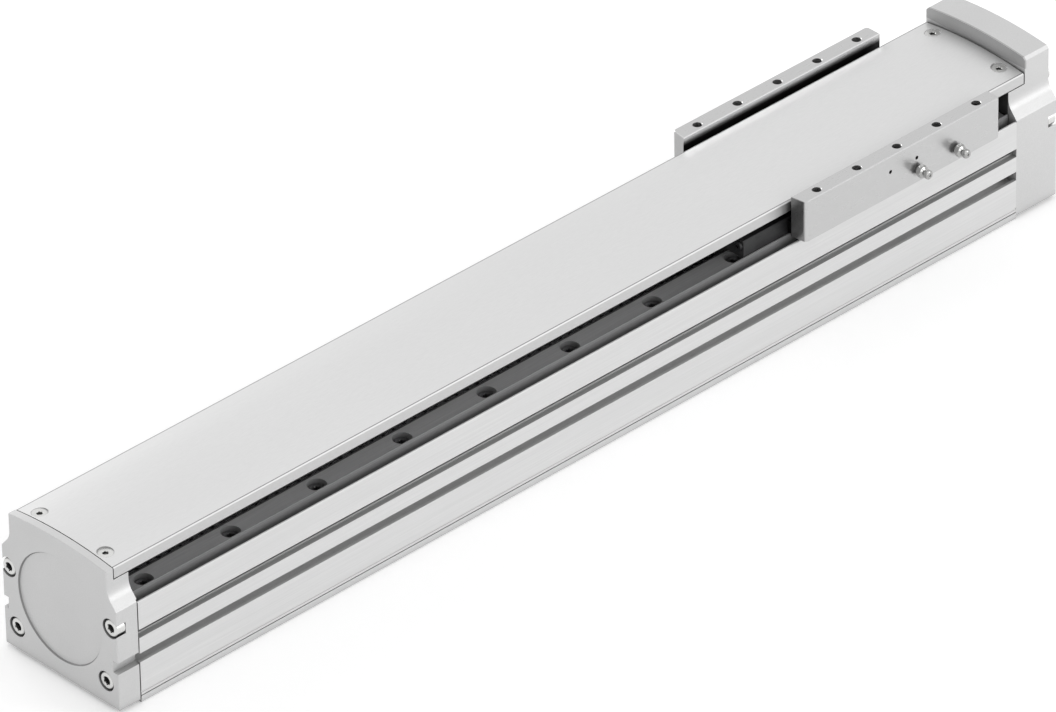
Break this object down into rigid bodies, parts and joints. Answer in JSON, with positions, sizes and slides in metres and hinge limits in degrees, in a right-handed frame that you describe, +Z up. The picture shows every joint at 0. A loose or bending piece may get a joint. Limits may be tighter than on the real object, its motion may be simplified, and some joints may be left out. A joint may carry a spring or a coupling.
{
  "type": "ball screw linear axis",
  "caption": "Covered linear axis: a slide with two upright wings runs on rails inside a long slotted profile, driven by a ball screw with a free drive shaft.",
  "frame": {"origin": "centre of the base face, at half the length of the body profile", "axes": "+X along the travel from the idle end to the drive end, +Z up from the base face, +Y to the left side"},
  "size_m": [0.939, 0.1464, 0.1287],
  "materials": {
    "profile_aluminium": "brushed along its length, anodised",
    "cast_aluminium": "fine matt",
    "cover_aluminium": "smooth satin anodised",
    "slide_aluminium": "fine milled, anodised",
    "rail_steel": "ground, dark corrosion protection",
    "carriage_steel": "black oxide",
    "bearing_steel": "ground",
    "screw_steel": "zinc plated",
    "grey_plastic": "moulded",
    "black_rubber": "moulded"
  },
  "bodies": {
    "frame": {"bearing_cover": "cast_aluminium", "bearing_cover_screws": "bearing_steel", "body_profile": "profile_aluminium", "cover_plate": "cover_aluminium", "cover_screws": "screw_steel", "drive_bearing_front_outer_ring": "bearing_steel", "drive_bearing_rear_outer_ring": "bearing_steel", "drive_buffer": "black_rubber", "drive_end_housing": "cast_aluminium", "drive_face_screws": "screw_steel", "drive_housing_screws": "screw_steel", "guide_rail_left": "rail_steel", "guide_rail_right": "rail_steel", "idle_bearing_outer_ring": "bearing_steel", "idle_buffer": "black_rubber", "idle_cap_screws": "screw_steel", "idle_end_cap": "cast_aluminium", "rail_screws_left": "carriage_steel", "rail_screws_right": "carriage_steel", "shaft_seal": "black_rubber"},
    "slide": {"ball_nut": "bearing_steel", "ball_rows": "bearing_steel", "bracket_screws": "screw_steel", "carriage_caps_front_left": "grey_plastic", "carriage_caps_front_right": "grey_plastic", "carriage_caps_rear_left": "grey_plastic", "carriage_caps_rear_right": "grey_plastic", "carriage_front_left": "carriage_steel", "carriage_front_right": "carriage_steel", "carriage_rear_left": "carriage_steel", "carriage_rear_right": "carriage_steel", "carriage_screws": "screw_steel", "carriage_wipers": "black_rubber", "grease_nipples": "screw_steel", "lube_ports": "carriage_steel", "nut_bracket": "slide_aluminium", "nut_screws": "screw_steel", "slide_body": "slide_aluminium"},
    "spindle": {"drive_bearing_front_inner_ring": "bearing_steel", "drive_bearing_rear_inner_ring": "bearing_steel", "idle_bearing_inner_ring": "bearing_steel", "locknut": "screw_steel", "retaining_ring": "rail_steel", "spindle": "bearing_steel"}
  },
  "joints": [
    {"name": "slide_travel", "type": "slide", "parent": "frame", "child": "slide", "axis": [1, 0, 0], "range_m": [-0.575, 0.004]},
    {"name": "spindle_turn", "type": "hinge", "parent": "frame", "child": "spindle", "pos_m": [0, 0, 0.0447], "axis": [1, 0, 0], "range_deg": [-72, 10350]}
  ],
  "couplings": [
    {"joint": "spindle_turn", "follows": "slide_travel", "rad_per_m": -314.16}
  ]
}
